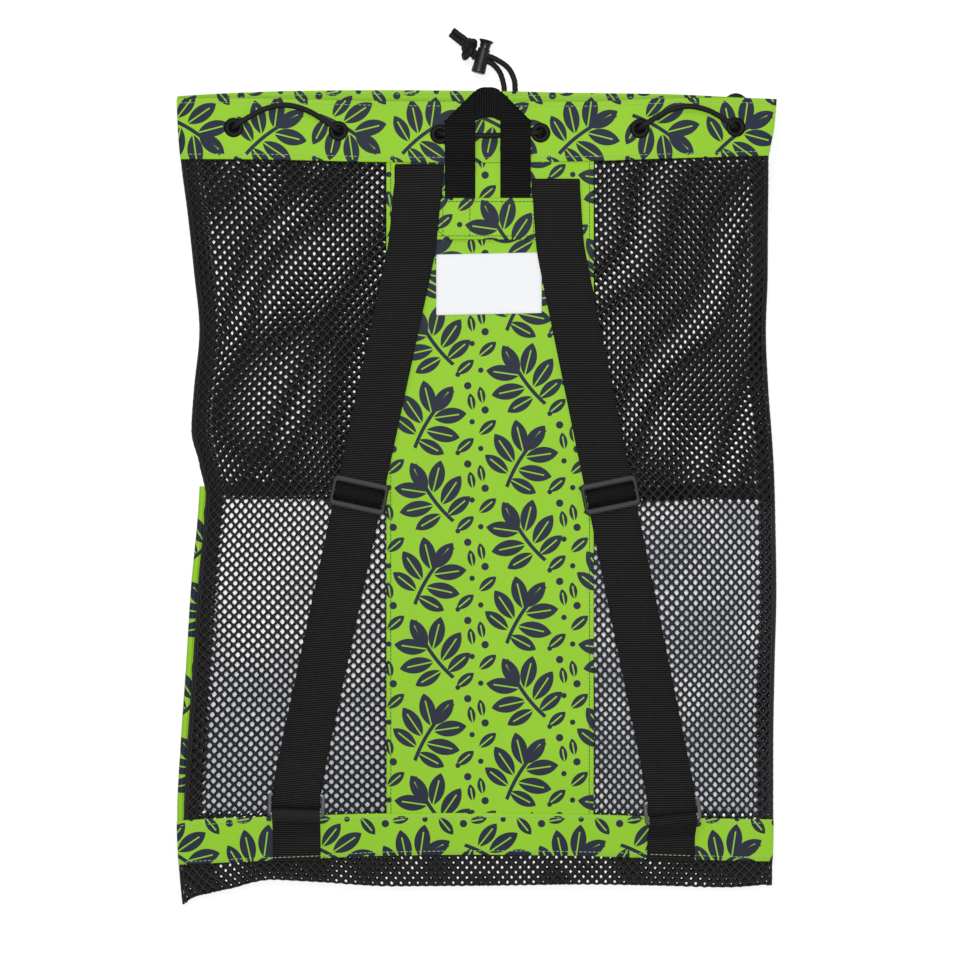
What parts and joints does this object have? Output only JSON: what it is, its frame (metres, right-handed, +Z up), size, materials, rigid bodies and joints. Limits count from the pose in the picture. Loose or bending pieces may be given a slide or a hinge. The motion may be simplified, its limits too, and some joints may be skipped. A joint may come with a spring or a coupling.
{
  "type": "mesh bag",
  "caption": "Flat-lying net backpack with a printed header band, drawcord, webbing shoulder straps and handle, for carrying wet swim or sports gear.",
  "frame": {"origin": "middle of the lying bag's box on the floor, the loose cord left out", "axes": "+Y towards the mouth, +Z up from the floor out of the strap side, +X to the right seen from above"},
  "size_m": [0.4856, 0.7063, 0.0345],
  "materials": {
    "net": "matte knitted net",
    "printed_cloth": "satin woven cloth, lime green with dark slate print",
    "label": "smooth coated",
    "webbing": "ribbed woven",
    "strap_plastic": "fine moulded",
    "eyelet": "black, semi-gloss",
    "cord": "braided",
    "lock_plastic": "moulded"
  },
  "bodies": {
    "bag": {"back_net_left": "net", "back_net_right": "net", "front_net": "net", "base_net": "net", "back_panel": "printed_cloth", "top_band_back": "printed_cloth", "top_band_front": "printed_cloth", "bottom_band": "printed_cloth", "front_panel": "printed_cloth", "anchor_patch": "printed_cloth", "name_label": "label", "handle": "webbing", "shoulder_strap_left": "webbing", "shoulder_strap_right": "webbing", "strap_tab_left": "webbing", "strap_tab_right": "webbing", "slider_left": "strap_plastic", "slider_right": "strap_plastic", "ring_left": "strap_plastic", "ring_right": "strap_plastic", "eyelet_back_1": "eyelet", "eyelet_back_2": "eyelet", "eyelet_back_3": "eyelet", "eyelet_back_4": "eyelet", "eyelet_back_5": "eyelet", "eyelet_back_6": "eyelet", "eyelet_front_1": "eyelet", "eyelet_front_2": "eyelet", "eyelet_front_3": "eyelet", "eyelet_front_4": "eyelet", "eyelet_front_5": "eyelet", "eyelet_front_6": "eyelet", "drawcord": "cord", "drawcord_tail_left": "cord", "drawcord_tail_right": "cord", "drawcord_knot": "cord", "drawcord_end_left": "cord", "drawcord_end_right": "cord", "cord_lock_barrel": "lock_plastic"},
    "plunger": {"cord_lock_plunger": "lock_plastic"}
  },
  "joints": [
    {"name": "lock_plunger_press", "type": "slide", "parent": "bag", "child": "plunger", "axis": [-0.2588, -0.9659, 0], "range_m": [0, 0.004], "stiffness_N_per_m": 300}
  ]
}
